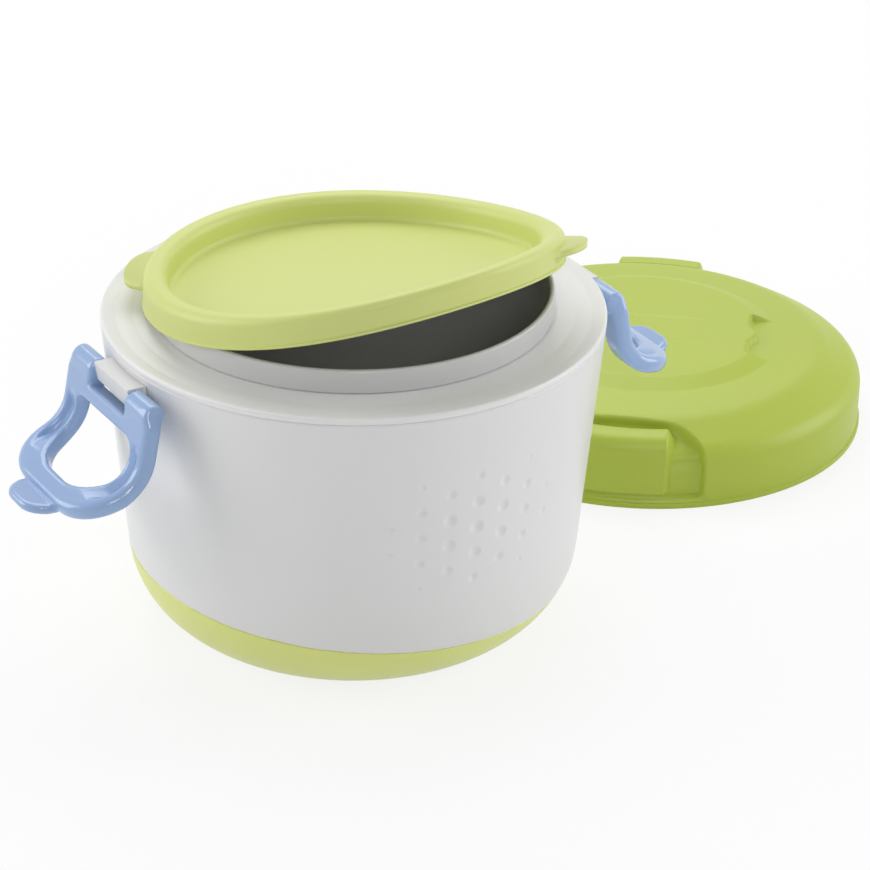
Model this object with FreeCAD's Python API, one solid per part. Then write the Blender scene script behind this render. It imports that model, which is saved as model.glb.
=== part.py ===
import FreeCAD, Part
import math
import os

os.makedirs("parts", exist_ok=True)

# Insulated food jar, millimetres, +Z up, origin on the jar's axis at the floor, latches on +X and -X.

# Jar body
rim_radius = 75.0
shell_top = 99.2
shell_wall = 2.2
body_taper_deg = 5.0
base_bottom = 0.6
corner_radius = 28.0
parting_height = 21.5
parting_tilt_deg = 4.8
parting_azimuth_deg = -28.0
tongue_wall = 1.6
tongue_fit = 0.2
tongue_rise = 5.0
tongue_root = 4.0
pad_margin = 4.7
pad_height = 1.6
pad_fit = 0.15

# Dimples on the shell: a slanted lattice that shrinks away from its middle
dimple_columns = 7
dimple_rows = 7
dimple_azimuth_deg = -90.3
dimple_drop = 38.6
dimple_column_deg = 7.0
dimple_column_drop = 4.2
dimple_row_drop = 8.6
dimple_radius = 2.3
dimple_depth = 0.6
dimple_row_share = 1.2
dimple_slant_share = 1.2
dimple_reach_share = 7.9
dimple_shrink_share = 0.6

# Collar, bowl and well
collar_rise = 2.0
collar_sink = 0.8
collar_width = 16.2
collar_ledge = 2.2
collar_dish = 0.7
collar_roll = 5.0
collar_edge = 0.8
collar_seam = 0.4
spigot_wall = 2.0
spigot_depth = 4.6
spigot_gap = 0.5
bowl_rim_rise = 7.2
bowl_rim_overlap = 0.6
bowl_wall = 1.7
bowl_neck_gap = 0.6
bowl_draft = 7.2
bowl_bottom = 17.0
bowl_corner = 18.0
bowl_lip_round = 0.7
seat_gap = 0.1
well_clearance = 0.9
well_wall = 1.5
well_flange = 6.0
foam_gap = 0.3

# Hinge lugs
hinge_standoff = 2.8
hinge_drop = 5.4
bar_radius = 1.2
bar_fit = 0.25
lug_width = 21.6
lug_front = 2.2
lug_lean = 0.9
lug_rise = 3.1
lug_fall = 3.0
lug_slot = 2.0
lug_neck_width = 15.0
lug_neck_height = 5.0
lug_flange_width = 19.0
lug_flange_height = 7.0
lug_flange_wall = 1.2
lug_flange_gap = 0.25
lug_back_fit = 0.1
lug_round = 0.5

# Latches, in the hanging pose: out is away from the jar, drop is down from the hinge
latch_thick = 5.5
latch_band = 3.0
latch_rim = 4.0
latch_width = 52.4
latch_head_radius = 3.1
latch_head_room = 1.2
latch_head_round = 8.0
latch_elbow_out = 4.6
latch_elbow_drop = 20.8
latch_elbow_round = 14.4
latch_tip_out = 25.5
latch_tip_drop = 28.3
latch_tip_round = 15.5
latch_window_gap = 0.5
latch_window_drop = 4.9
latch_window_round = 1.0
latch_offset = 0.6
latch_pocket_top = 11.0
latch_pocket_margin = 2.6
latch_pocket_round = 4.0
latch_hole_top = 8.2
latch_side = 9.9
latch_hole_round = 2.5
latch_end_band = 6.7
latch_end_round = 9.0
tab_width = 20.0
tab_reach = 8.0
tab_rise = 0.7
tab_thick = 3.0
tab_round = 7.0
tab_root = 4.0

# Inner lid: soft, seated on the bowl's rim at one side and peeled up towards the other
seal_skirt_gap = 1.1
seal_skirt_wall = 1.5
seal_plug_gap = 1.3
seal_plug_wall = 1.5
seal_floor_gap = 1.2
seal_plug_depth = 6.6
seal_bead = 3.4
seal_bead_round = 1.2
seal_panel_wall = 1.8
seal_tab_width = 26.0
seal_tab_reach = 6.5
seal_tab_wall = 1.8
seal_tab_rise = 4.0
seal_tab_azimuth_deg = -38.0
seal_peel = 26.0
seal_peel_power_share = 2.5
seal_peel_azimuth_deg = 279.0
seal_peel_points = 11
seal_shift = 0.5
seal_shift_azimuth_deg = 77.0
seal_lift = 0.4

# Outer lid, lying on the floor beside the jar
lid_gap = 16.94
lid_bearing_deg = 23.69
lid_turn_deg = 50.5
lid_overhang = 0.2
lid_lip = 0.6
lid_lip_height = 1.8
lid_wall = 2.2
lid_side_height = 19.0
lid_shoulder_width = 14.2
lid_shoulder_rise = 8.0
lid_crown_width = 15.5
lid_crown_rise = 1.4
lid_disc_slope = 4.0
lid_disc_rise = 2.6
lid_side_round = 7.0
lid_shoulder_round = 12.0
lid_disc_round = 1.6
recess_width = 58.0
recess_arch_round = 16.0
recess_depth = 3.2
recess_length = 12.7
recess_wall = 2.0
boss_width = 32.0
boss_length = 8.2
boss_rise = 5.5
boss_round = 2.0
pad_side = 4.0
disc_notch_width = 30.0
disc_notch_depth = 5.0
disc_notch_floor = 1.8
disc_notch_round = 4.0
disc_cusp_width = 12.0
disc_cusp_reach = 3.0
disc_cusp_round = 1.5
plate_rim_width = 2.1
plate_roof_drop = 6.0
plate_wall = 1.8
plate_bottom = 2.8
plate_fit = 0.3
plate_corner = 4.0
gasket_width = 2.6
gasket_height = 2.0
gasket_gap = 0.1
lid_foam_margin = 5.0
lid_foam_gap = 0.3

# Overrun of cutting shapes past the faces they cut, their reach, and the distance at which points are one
overrun = 1.0
reach = 4.0 * rim_radius
touch = 1e-6

# Places that follow from the sizes above: each piece is carried along by what it sits on
taper = math.tan(math.radians(body_taper_deg))
taper_cos = math.cos(math.radians(body_taper_deg))
foot_radius = rim_radius - (shell_top - base_bottom) * taper
pad_radius = foot_radius - corner_radius / math.tan(math.radians(90 + body_taper_deg) / 2) - pad_margin
dimple_height = shell_top - dimple_drop
collar_height = shell_top + collar_rise
collar_bottom = shell_top - collar_sink
collar_inner = rim_radius - collar_width
bowl_rim_height = collar_height + bowl_rim_rise
bowl_rim_radius = collar_inner + bowl_rim_overlap
bowl_neck_radius = collar_inner - bowl_neck_gap
bowl_foot_radius = bowl_neck_radius - bowl_draft
hinge_reach = rim_radius + hinge_standoff
hinge_height = shell_top - hinge_drop
latch_hole_width = latch_width - 2 * latch_side
latch_hole_end = latch_tip_out - latch_end_band
tab_tip_out = latch_tip_out + tab_reach
tab_tip_drop = latch_tip_drop - tab_rise
seal_skirt_outer = bowl_rim_radius + seal_skirt_gap + seal_skirt_wall
seal_plug_outer = bowl_rim_radius - bowl_wall - seal_plug_gap
seal_skirt_depth = bowl_rim_rise + seal_lift - seal_floor_gap
lid_radius = rim_radius + lid_overhang
lid_distance = rim_radius + lid_gap + lid_radius + lid_lip
lid_shoulder_radius = lid_radius - lid_shoulder_width
lid_shoulder_height = lid_side_height + lid_shoulder_rise
lid_crown_radius = lid_shoulder_radius - lid_crown_width
lid_crown_height = lid_shoulder_height + lid_crown_rise
lid_disc_radius = lid_crown_radius - lid_disc_slope
lid_disc_height = lid_crown_height + lid_disc_rise
recess_start = lid_radius - recess_length
boss_inner = lid_radius - boss_length
boss_height = lid_side_height + boss_rise
plate_outer = lid_radius - recess_depth - recess_wall - plate_fit
plate_recess_radius = plate_outer - plate_rim_width
plate_roof = lid_side_height - plate_roof_drop
lid_foam_radius = lid_shoulder_radius - lid_foam_margin

V = FreeCAD.Vector
up = V(0, 0, 1)
origin = V(0, 0, 0)


# Outlines and solids

def arc_room(points, alongs):
    """Share of each corner's rounding that fits on its two edges."""
    count = len(points)
    room = []
    for i in range(count):
        wanted = alongs[i] + alongs[(i + 1) % count]
        length = points[i].distanceToPoint(points[(i + 1) % count])
        room.append(length / wanted if wanted > length else 1)
    return [min(room[i - 1], room[i]) for i in range(count)]


def rounded_face(corners, place):
    """Face through corners (a, b, radius), each rounded by a tangent arc; place maps a, b to a point."""
    count = len(corners)
    points = [place(a, b) for a, b, radius in corners]
    sides = []
    for i in range(count):
        before = points[i - 1].sub(points[i]).normalize()
        after = points[(i + 1) % count].sub(points[i]).normalize()
        sides.append((before, after, before.getAngle(after) / 2))
    room = arc_room(points, [corners[i][2] / math.tan(sides[i][2]) for i in range(count)])
    ends = []
    for i in range(count):
        here = points[i]
        radius = corners[i][2] * room[i]
        if radius == 0:
            ends.append((here, None, here))
            continue
        before, after, half = sides[i]
        along = radius / math.tan(half)
        middle = before.add(after).normalize()
        centre = here.add(middle.multiply(radius / math.sin(half)))
        inward = here.sub(centre).normalize()
        top = centre.add(inward.multiply(radius))
        ends.append((here.add(V(before).multiply(along)), top, here.add(V(after).multiply(along))))
    edges = []
    for i in range(count):
        first, top, last = ends[i]
        if top is not None:
            edges.append(Part.Arc(first, top, last).toShape())
        following = ends[(i + 1) % count][0]
        if not last.isEqual(following, touch):
            edges.append(Part.LineSegment(last, following).toShape())
    return Part.Face(Part.Wire(edges))


def lathe(corners):
    """Solid of revolution about Z from corners (radius, height, rounding)."""
    return rounded_face(corners, lambda a, b: V(a, 0, b)).revolve(origin, up, 360)


def prism(corners, place, run):
    """Solid from corners (a, b, rounding) placed by place and extruded along run."""
    return rounded_face(corners, place).extrude(run)


def box(x0, x1, y0, y1, z0, z1):
    """Box between two corners."""
    return Part.makeBox(x1 - x0, y1 - y0, z1 - z0, V(x0, y0, z0))


def turned(shape, degrees, centre=origin, axis=up):
    """Copy of a shape turned about an axis."""
    copy = shape.copy()
    copy.rotate(centre, axis, degrees)
    return copy


def moved(shape, x, y, z):
    """Copy of a shape moved by x, y, z."""
    copy = shape.copy()
    copy.translate(V(x, y, z))
    return copy


def softened(shape, radius, wanted):
    """Shape with the edges that wanted picks rounded."""
    return shape.makeFillet(radius, [edge for edge in shape.Edges if wanted(edge)])


def save(name, shape):
    """One solid as its own file."""
    clean = shape.removeSplitter()
    solid = clean.Solids[0] if len(clean.Solids) == 1 else clean
    print(name, len(clean.Solids), clean.isValid(), round(clean.Volume))
    solid.exportStep("parts/" + name + ".step")


# Jar body

def wall_radius(z, inset):
    """Radius of the tapered wall at a height, moved in by inset."""
    return rim_radius - inset / taper_cos - (shell_top - z) * taper


def cup(inset, top):
    """Solid cup that follows the body, moved in by inset and closed flat at top."""
    floor = base_bottom + inset
    corners = [
        (0, floor, 0),
        (wall_radius(floor, inset), floor, corner_radius - inset),
        (wall_radius(top, inset), top, 0),
        (0, top, 0),
    ]
    return lathe(corners)


def below_parting(rise):
    """Block under the slanted parting plane, raised by rise."""
    block = box(-reach, reach, -reach, reach, -reach, 0)
    axis = turned(Part.makeLine(origin, V(0, 1, 0)), parting_azimuth_deg).Vertexes[1].Point
    block = turned(block, parting_tilt_deg, origin, axis)
    return moved(block, 0, 0, parting_height + rise)


def dimples():
    """Balls that press the dimples into the shell."""
    balls = []
    for row in range(dimple_rows):
        for column in range(dimple_columns):
            i = column - (dimple_columns - 1) / 2
            j = row - (dimple_rows - 1) / 2
            spread = (i ** 2 + dimple_row_share * j ** 2 + dimple_slant_share * i * j) / dimple_reach_share
            if spread > 1:
                continue
            share = 1 - dimple_shrink_share * spread
            foot = dimple_radius * share
            deep = dimple_depth * share
            ball = (foot ** 2 + deep ** 2) / (2 * deep)
            z = dimple_height - i * dimple_column_drop - j * dimple_row_drop
            angle = math.radians(dimple_azimuth_deg + i * dimple_column_deg)
            out = wall_radius(z, 0) + (ball - deep) * taper_cos
            centre = V(out * math.cos(angle), out * math.sin(angle), z - (ball - deep) * taper)
            balls.append(Part.makeSphere(ball, centre))
    return Part.makeCompound(balls)


def lug_windows(width, height, x0, x1):
    """Boxes through the wall at both hinges."""
    half = width / 2
    low = hinge_height - height / 2
    right = box(x0, x1, -half, half, low, low + height)
    return right.fuse(turned(right, 180))


def body_wall():
    """Tapered wall and floor of the body in one."""
    return cup(0, shell_top).cut(cup(shell_wall, shell_top + overrun))


def outer_shell():
    """Wall above the slanted joint, with dimples and the windows of the lugs."""
    shell = body_wall().cut(below_parting(0))
    shell = softened(shell, collar_seam, lambda e: e.BoundBox.ZMin > shell_top - collar_seam
                     and e.BoundBox.XMax > rim_radius - collar_seam)
    shell = shell.cut(dimples())
    return shell.cut(lug_windows(lug_neck_width + 2 * lug_flange_gap, lug_neck_height + 2 * lug_flange_gap,
                                 rim_radius / 2, rim_radius + overrun))


def base_cup():
    """Floor and lower wall, with a tongue that stands up inside the shell."""
    low = body_wall().common(below_parting(0))
    inner = cup(shell_wall + tongue_fit + tongue_wall, shell_top)
    root = cup(shell_wall / 2, shell_top).cut(inner)
    root = root.common(below_parting(0)).cut(below_parting(-tongue_root))
    tongue = cup(shell_wall + tongue_fit, shell_top).cut(inner)
    tongue = tongue.common(below_parting(tongue_rise)).cut(below_parting(-tongue_root))
    pocket = Part.makeCylinder(pad_radius + pad_fit, pad_height - base_bottom, V(0, 0, base_bottom))
    pocket = pocket.fuse(Part.makeCylinder(pad_radius + pad_fit, base_bottom + overrun, V(0, 0, -overrun)))
    return low.fuse([root, tongue]).cut(pocket)


def foot_pad():
    """Round pad the jar stands on."""
    return lathe([(0, 0, 0), (pad_radius, 0, pad_fit), (pad_radius, pad_height, 0), (0, pad_height, 0)])


def collar_ring():
    """Dished ring on top of the body, with a spigot inside the wall."""
    plate = lathe([
        (collar_inner, collar_bottom, 0),
        (rim_radius - shell_wall - collar_roll, collar_bottom, 0),
        (rim_radius - shell_wall - collar_roll, shell_top, 0),
        (rim_radius, shell_top, collar_seam),
        (rim_radius, collar_height, collar_edge),
        (rim_radius - collar_roll, collar_height - collar_dish, collar_roll),
        (collar_inner + collar_ledge + collar_roll, collar_height - collar_dish, collar_roll),
        (collar_inner + collar_ledge, collar_height, 0),
        (collar_inner, collar_height, 0),
    ])
    outer = wall_radius(shell_top - spigot_depth, shell_wall) - spigot_gap
    spigot = lathe([
        (outer - spigot_wall, shell_top - spigot_depth, 0),
        (outer, shell_top - spigot_depth, 0),
        (outer, shell_top + collar_seam, 0),
        (outer - spigot_wall, shell_top + collar_seam, 0),
    ])
    half = lug_flange_width / 2 + foam_gap
    low = shell_top - spigot_depth - overrun
    lugs = box(-reach, reach, -half, half, low, lug_top() + foam_gap)
    return plate.fuse(spigot.cut(lugs))


def bowl_shape(grow, top, floor):
    """Solid that follows the bowl's outside, grown by grow, closed at top."""
    slope = (bowl_neck_radius - bowl_foot_radius) / (collar_height - bowl_bottom)
    corners = [
        (0, floor, 0),
        (bowl_foot_radius + grow, floor, bowl_corner + grow),
        (bowl_foot_radius + grow + slope * (top - floor), top, 0),
        (0, top, 0),
    ]
    return lathe(corners)


def food_bowl():
    """Lift-out bowl: its shoulder rests on the collar's ledge."""
    ledge = collar_height + seat_gap
    body = bowl_shape(0, ledge, bowl_bottom)
    rim = Part.makeCylinder(bowl_rim_radius, bowl_rim_height - ledge, V(0, 0, ledge))
    inside = bowl_shape(-bowl_wall, ledge, bowl_bottom + bowl_wall)
    mouth = Part.makeCylinder(bowl_rim_radius - bowl_wall, bowl_rim_height - ledge + overrun, V(0, 0, ledge))
    bowl = body.fuse(rim).cut(inside).cut(mouth)
    return softened(bowl, bowl_lip_round, lambda e: e.BoundBox.ZMin > bowl_rim_height - bowl_lip_round)


def well_liner():
    """Cup that holds the bowl, hung by a flange glued under the collar."""
    top = collar_bottom
    floor = bowl_bottom - well_clearance
    outer = bowl_shape(well_clearance + well_wall, top, floor - well_wall)
    flange = Part.makeCylinder(collar_inner + well_flange, well_wall, V(0, 0, top - well_wall))
    return outer.fuse(flange).cut(bowl_shape(well_clearance, top + overrun, floor))


def well_outside(gap):
    """Solid that the foam leaves free for the well and its flange."""
    top = shell_top
    grow = well_clearance + well_wall + gap
    well = bowl_shape(grow, top, bowl_bottom - grow)
    low = collar_bottom - well_wall - gap
    return well.fuse(Part.makeCylinder(collar_inner + well_flange + gap, top - low, V(0, 0, low)))


def foam_block():
    """Whole space between the wall and the well."""
    inset = shell_wall + tongue_fit + tongue_wall + foam_gap
    return cup(inset, shell_top - spigot_depth - foam_gap).cut(well_outside(foam_gap))


def foam_level():
    """Height at which the foam is split."""
    return bowl_bottom - well_clearance - well_wall - foam_gap


def insulation_wall():
    """Foam sleeve round the well."""
    block = box(-reach, reach, -reach, reach, -reach, foam_level())
    deep = hinge_reach - lug_flange_width
    pockets = lug_windows(lug_flange_width + 2 * foam_gap, lug_flange_height + 2 * foam_gap, deep, rim_radius)
    pockets = pockets.cut(Part.makeCylinder(flange_back() - foam_gap, reach))
    return foam_block().cut(block).cut(pockets)


def insulation_floor():
    """Foam disc under the well."""
    return foam_block().common(box(-reach, reach, -reach, reach, -reach, foam_level() - foam_gap))


# Hinge lugs

def lug_top():
    """Height of the top of a lug's flange."""
    return hinge_height + lug_flange_height / 2


def flange_back():
    """Distance from the axis to the inner face of a lug's flange."""
    half = lug_flange_width / 2
    face = wall_radius(hinge_height - lug_flange_height / 2, shell_wall) - lug_flange_gap
    return math.sqrt(face ** 2 - half ** 2) - lug_flange_wall


def hinge_lug():
    """Hook on the +X side that holds the latch's bar, held by a flange behind the wall."""
    half = lug_width / 2
    front = hinge_reach + lug_front
    top = hinge_height + lug_rise
    under = hinge_height - lug_fall
    corners = [
        (rim_radius / 2, top, 0),
        (front, top, lug_round),
        (front - lug_lean, under, lug_round),
        (rim_radius / 2, under, 0),
    ]
    hook = prism(corners, lambda a, b: V(a, -half, b), V(0, lug_width, 0))
    hook = hook.cut(cup(-lug_back_fit, shell_top + reach))
    bore = Part.makeCylinder(bar_radius + bar_fit, lug_width + 2 * overrun,
                             V(hinge_reach, -half - overrun, hinge_height), V(0, 1, 0))
    slot = box(hinge_reach - lug_slot / 2, hinge_reach + lug_slot / 2, -half - overrun, half + overrun,
               under - overrun, hinge_height)
    hook = hook.cut(bore).cut(slot)
    back = flange_back()
    neck_half = lug_neck_width / 2
    low = hinge_height - lug_neck_height / 2
    neck_end = wall_radius(hinge_height, -lug_back_fit) + lug_back_fit
    neck = box(back, neck_end, -neck_half, neck_half, low, low + lug_neck_height)
    wide = lug_flange_width / 2
    low = hinge_height - lug_flange_height / 2
    flange = box(back, back + lug_flange_wall, -wide, wide, low, low + lug_flange_height)
    return hook.fuse([neck, flange])


# Latches

def latch_slab(thick):
    """Bent slab along the latch's middle line, from the hinge to past its tip, wider than the latch."""
    half = latch_width / 2 + overrun
    start = V(hinge_reach + latch_offset, 0, hinge_height)
    elbow = V(hinge_reach + latch_elbow_out, 0, hinge_height - latch_elbow_drop)
    tip = V(hinge_reach + latch_tip_out, 0, hinge_height - latch_tip_drop)
    first = elbow.sub(start).normalize()
    second = tip.sub(elbow).normalize()
    tip = tip.add(V(second).multiply(latch_thick))
    side = [V(-first.z, 0, first.x), V(-second.z, 0, second.x)]
    bisect = side[0].add(side[1]).normalize()
    stretch = 1 / bisect.dot(side[0])
    corners = []
    for sign, order in ((1, (0, 1, 2)), (-1, (2, 1, 0))):
        for k in order:
            off = V((side[0], bisect.multiply(1), side[1])[k]).multiply(sign * thick / 2 * (1, stretch, 1)[k])
            point = (start, elbow, tip)[k].add(off)
            corners.append((point.x, point.z, latch_elbow_round - sign * thick / 2 if k == 1 else 0))
    return prism(corners, lambda a, b: V(a, -half, b), V(0, 2 * half, 0))


def front_prism(corners, run=reach):
    """Prism along X, out to a distance past the hinge, from corners (y, drop below the hinge, rounding)."""
    return prism(corners, lambda a, b: V(hinge_reach / 2, a, hinge_height - b), V(hinge_reach / 2 + run, 0, 0))


def top_prism(corners, high, low):
    """Prism along Z from corners (out from the hinge, y, rounding), between two drops below the hinge."""
    return prism(corners, lambda a, b: V(hinge_reach + a, b, hinge_height - low), V(0, 0, low - high))


def bent_opening(half, top, top_round, end, end_round):
    """Cutter for an opening that runs over the latch's elbow, from a drop to a distance out."""
    low = latch_elbow_drop + latch_thick / 2
    high = latch_elbow_drop - latch_thick
    near = latch_elbow_out - latch_thick / 2
    upper = front_prism([(-half, top, top_round), (half, top, top_round), (half, low, 0), (-half, low, 0)],
                        latch_elbow_out + latch_thick)
    lower = top_prism([(near, -half, 0), (end, -half, end_round), (end, half, end_round), (near, half, 0)],
                      high, reach)
    return upper.fuse(lower)


def latch():
    """Bent loop on the +X side: thick rim, thinner band, finger hole, bar in the lug's hook and pull tab."""
    half = latch_width / 2
    head = latch_head_radius
    brow = -head - latch_head_room
    face = front_prism([(-half, brow, latch_head_round), (half, brow, latch_head_round),
                        (half, reach, 0), (-half, reach, 0)])
    plan = top_prism([(-reach, -half, 0), (latch_tip_out, -half, latch_tip_round),
                      (latch_tip_out, half, latch_tip_round), (-reach, half, 0)], -reach, reach)
    outline = face.common(plan)
    pocket = bent_opening(half - latch_rim, latch_pocket_top, latch_pocket_round,
                          latch_hole_end - latch_pocket_margin, latch_pocket_round)
    rim = latch_slab(latch_thick).common(outline).cut(pocket)
    band = latch_slab(latch_band).common(outline)
    axle = V(hinge_reach, -half, hinge_height)
    knuckle = Part.makeCylinder(head, latch_width, axle, V(0, 1, 0)).common(outline)
    inner = lug_width / 2 + latch_window_gap
    window = front_prism([(-inner, -latch_hole_top, 0), (inner, -latch_hole_top, 0),
                          (inner, latch_window_drop, latch_window_round),
                          (-inner, latch_window_drop, latch_window_round)])
    hole = bent_opening(latch_hole_width / 2, latch_hole_top, latch_hole_round, latch_hole_end, latch_end_round)
    loop = rim.fuse([band, knuckle]).cut(window).cut(hole)
    bar = Part.makeCylinder(bar_radius, latch_width - latch_rim, axle.add(V(0, latch_rim / 2, 0)), V(0, 1, 0))
    return loop.fuse([bar, pull_tab()]).removeSplitter()


def pull_tab():
    """Tongue that stands out past the loop's end."""
    along = V(tab_tip_out - latch_tip_out, 0, latch_tip_drop - tab_tip_drop).normalize()
    across = V(-along.z, 0, along.x)
    root = V(hinge_reach + latch_tip_out, 0, hinge_height - latch_tip_drop).sub(V(along).multiply(tab_root))
    tip = V(hinge_reach + tab_tip_out, 0, hinge_height - tab_tip_drop)
    length = tip.sub(root).Length
    half = tab_width / 2
    lower = root.sub(V(across).multiply(tab_thick / 2))
    corners = [(0, -half, 0), (length, -half, tab_round), (length, half, tab_round), (0, half, 0)]
    tongue = prism(corners, lambda a, b: lower.add(V(along).multiply(a)).add(V(0, b, 0)),
                   V(across).multiply(tab_thick))
    return softened(tongue, tab_thick / 3, lambda e: e.BoundBox.XMax > root.x + tab_root)


# Inner lid

def seal_height(along):
    """Height of the peeled lid at a distance along the peel: nothing at the seated edge, most at the other."""
    span = seal_skirt_outer + seal_tab_reach
    return seal_peel * max((along + span) / (2 * span), 0) ** seal_peel_power_share


def seal_layer(low, high):
    """Layer of the peeled lid between two levels, wider than the lid."""
    span = seal_skirt_outer + seal_tab_reach + overrun
    curves = []
    for level in (low, high):
        points = []
        for k in range(seal_peel_points):
            along = span * (2 * k / (seal_peel_points - 1) - 1)
            points.append(V(along, -span, level + seal_height(along)))
        curve = Part.BSplineCurve()
        curve.interpolate(points)
        curves.append((curve.toShape(), points[0], points[-1]))
    lower, upper = curves
    edges = [lower[0], Part.makeLine(lower[2], upper[2]), upper[0], Part.makeLine(lower[1], upper[1])]
    return Part.Face(Part.Wire(Part.__sortEdges__(edges))).extrude(V(0, 2 * span, 0))


def tube(inner, outer):
    """Tall upright tube about Z, or a tall cylinder when inner is zero."""
    post = Part.makeCylinder(outer, reach, V(0, 0, -reach / 2))
    if inner == 0:
        return post
    return post.cut(Part.makeCylinder(inner, reach + 2 * overrun, V(0, 0, -reach / 2 - overrun)))


def seal_tabs():
    """Two grip tabs at opposite sides, as upright prisms outside the skirt."""
    half = seal_tab_width / 2
    root = seal_skirt_outer - seal_skirt_wall / 2
    tip = seal_skirt_outer + seal_tab_reach
    corners = [(root / 2, -half, 0), (tip, -half, seal_tab_reach), (tip, half, seal_tab_reach), (root / 2, half, 0)]
    tab = prism(corners, lambda a, b: V(a, b, -reach / 2), V(0, 0, reach)).cut(tube(0, root))
    turn = seal_tab_azimuth_deg - seal_peel_azimuth_deg
    return [turned(tab, turn), turned(tab, turn + 180)]


def inner_lid():
    """Soft lid: bead, skirt, plug wall and panel in one, all on the peeled surface."""
    skirt_in = seal_skirt_outer - seal_skirt_wall
    plug_in = seal_plug_outer - seal_plug_wall
    bead = seal_layer(0, seal_bead).common(tube(plug_in, seal_skirt_outer))
    bead = softened(bead, seal_bead_round, on_bead_top)
    skirt = seal_layer(-seal_skirt_depth, seal_bead / 4).common(tube(skirt_in, seal_skirt_outer))
    plug = seal_layer(-seal_plug_depth, seal_bead / 4).common(tube(plug_in, seal_plug_outer))
    panel = seal_layer(-seal_plug_depth, seal_panel_wall - seal_plug_depth)
    panel = panel.common(tube(0, seal_plug_outer - seal_plug_wall / 2))
    tab_low = seal_tab_rise - seal_skirt_depth
    grips = seal_layer(tab_low, tab_low + seal_tab_wall)
    grips = [grips.common(tab) for tab in seal_tabs()]
    lid = turned(bead.fuse([skirt, plug, panel] + grips), seal_peel_azimuth_deg)
    angle = math.radians(seal_shift_azimuth_deg)
    return moved(lid, seal_shift * math.cos(angle), seal_shift * math.sin(angle), bowl_rim_height + seal_lift)


def on_bead_top(edge):
    """Whether an edge runs along the top of the bead."""
    middle = edge.valueAt((edge.FirstParameter + edge.LastParameter) / 2)
    return middle.z - seal_height(middle.x) > seal_bead - seal_bead_round / 2


# Outer lid

def lid_outline(inset):
    """Corners of the lid's outside moved in by inset, up to the top of its disc."""
    return [
        (lid_radius - inset, lid_side_height - inset / 2, lid_side_round),
        (lid_shoulder_radius - inset / 2, lid_shoulder_height - inset, lid_shoulder_round),
        (lid_crown_radius, lid_crown_height - inset, 0),
    ]


def lid_solid(inset, floor):
    """Solid lid without its disc, from floor up."""
    outline = lid_outline(inset)
    return lathe([(0, floor, 0), (lid_radius - inset, floor, 0)] + outline + [(0, outline[-1][1], 0)])


def latch_zone(width, start, arch):
    """Prism over both latch recesses: arch-topped seen from above, open outward."""
    half = width / 2
    corners = [
        (start, -half, arch),
        (start, half, arch),
        (reach, half, 0),
        (reach, -half, 0),
    ]
    one = prism(corners, lambda a, b: V(a, b, -reach / 2), V(0, 0, reach))
    return one.fuse(turned(one, 180))


def lid_shell():
    """Outer lid: lip, side, shoulder, raised disc, two latch recesses with a boss in each."""
    lid = lid_solid(0, 0)
    lip = Part.makeCylinder(lid_radius + lid_lip, lid_lip_height)
    disc = lathe([
        (0, lid_shoulder_height - lid_wall, 0),
        (lid_crown_radius, lid_shoulder_height - lid_wall, 0),
        (lid_crown_radius, lid_crown_height, 0),
        (lid_disc_radius, lid_disc_height, lid_disc_round),
        (0, lid_disc_height, 0),
    ])
    half = disc_notch_width / 2
    notch_in = lid_disc_radius - disc_notch_depth
    cusp = disc_cusp_width / 2
    corners = [
        (-half, -reach, 0),
        (half, -reach, 0),
        (half, -notch_in, disc_notch_round),
        (cusp, -notch_in, disc_cusp_round),
        (0, -notch_in - disc_cusp_reach, disc_cusp_round),
        (-cusp, -notch_in, disc_cusp_round),
        (-half, -notch_in, disc_notch_round),
    ]
    notch = prism(corners, lambda a, b: V(a, b, lid_disc_height - disc_notch_floor), V(0, 0, reach))
    groove = latch_zone(recess_width, recess_start, recess_arch_round)
    layer = lid_solid(-overrun, lid_lip_height + recess_wall).cut(lid_solid(recess_depth, 0))
    lid = lid.fuse([lip, disc]).cut(notch)
    lid = lid.cut(layer.common(groove)).cut(lid_cavity())
    return lid.fuse([lid_boss(), turned(lid_boss(), 180)])


def lid_boss():
    """Block in a latch recess that the latch's loop hooks over."""
    half = boss_width / 2
    low = lid_lip_height + recess_wall - overrun
    block = box(boss_inner, lid_radius + overrun, -half, half, low, boss_height)
    block = block.common(Part.makeCylinder(lid_radius, reach))
    block = softened(block, boss_round, lambda e: e.BoundBox.ZMax > boss_height - boss_round)
    return block.cut(lid_solid(recess_depth + recess_wall / 2, -overrun))


def lid_cavity():
    """Hollow of the outer lid, kept back behind the latch recesses."""
    zone = latch_zone(recess_width + 2 * pad_side, recess_start - pad_side, recess_arch_round)
    hollow = lid_solid(lid_wall, -overrun).cut(zone)
    return hollow.fuse(lid_solid(recess_depth + recess_wall, -overrun))


def lid_plate():
    """Inner plate of the outer lid: a flat rim and a raised roof over the inner lid."""
    outer = plate_outer
    inner = plate_recess_radius
    return lathe([
        (0, plate_roof, 0),
        (inner - plate_wall, plate_roof, plate_corner),
        (inner - plate_wall, plate_bottom, 0),
        (outer, plate_bottom, 0),
        (outer, plate_bottom + plate_wall, 0),
        (inner, plate_bottom + plate_wall, 0),
        (inner, plate_roof + plate_wall, plate_corner + plate_wall),
        (0, plate_roof + plate_wall, 0),
    ])


def lid_foam():
    """Foam disc between the outer lid and its plate."""
    low = plate_roof + plate_wall + lid_foam_gap
    top = lid_shoulder_height - recess_depth - recess_wall - lid_foam_gap
    return Part.makeCylinder(lid_foam_radius, top - low, V(0, 0, low))


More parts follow.
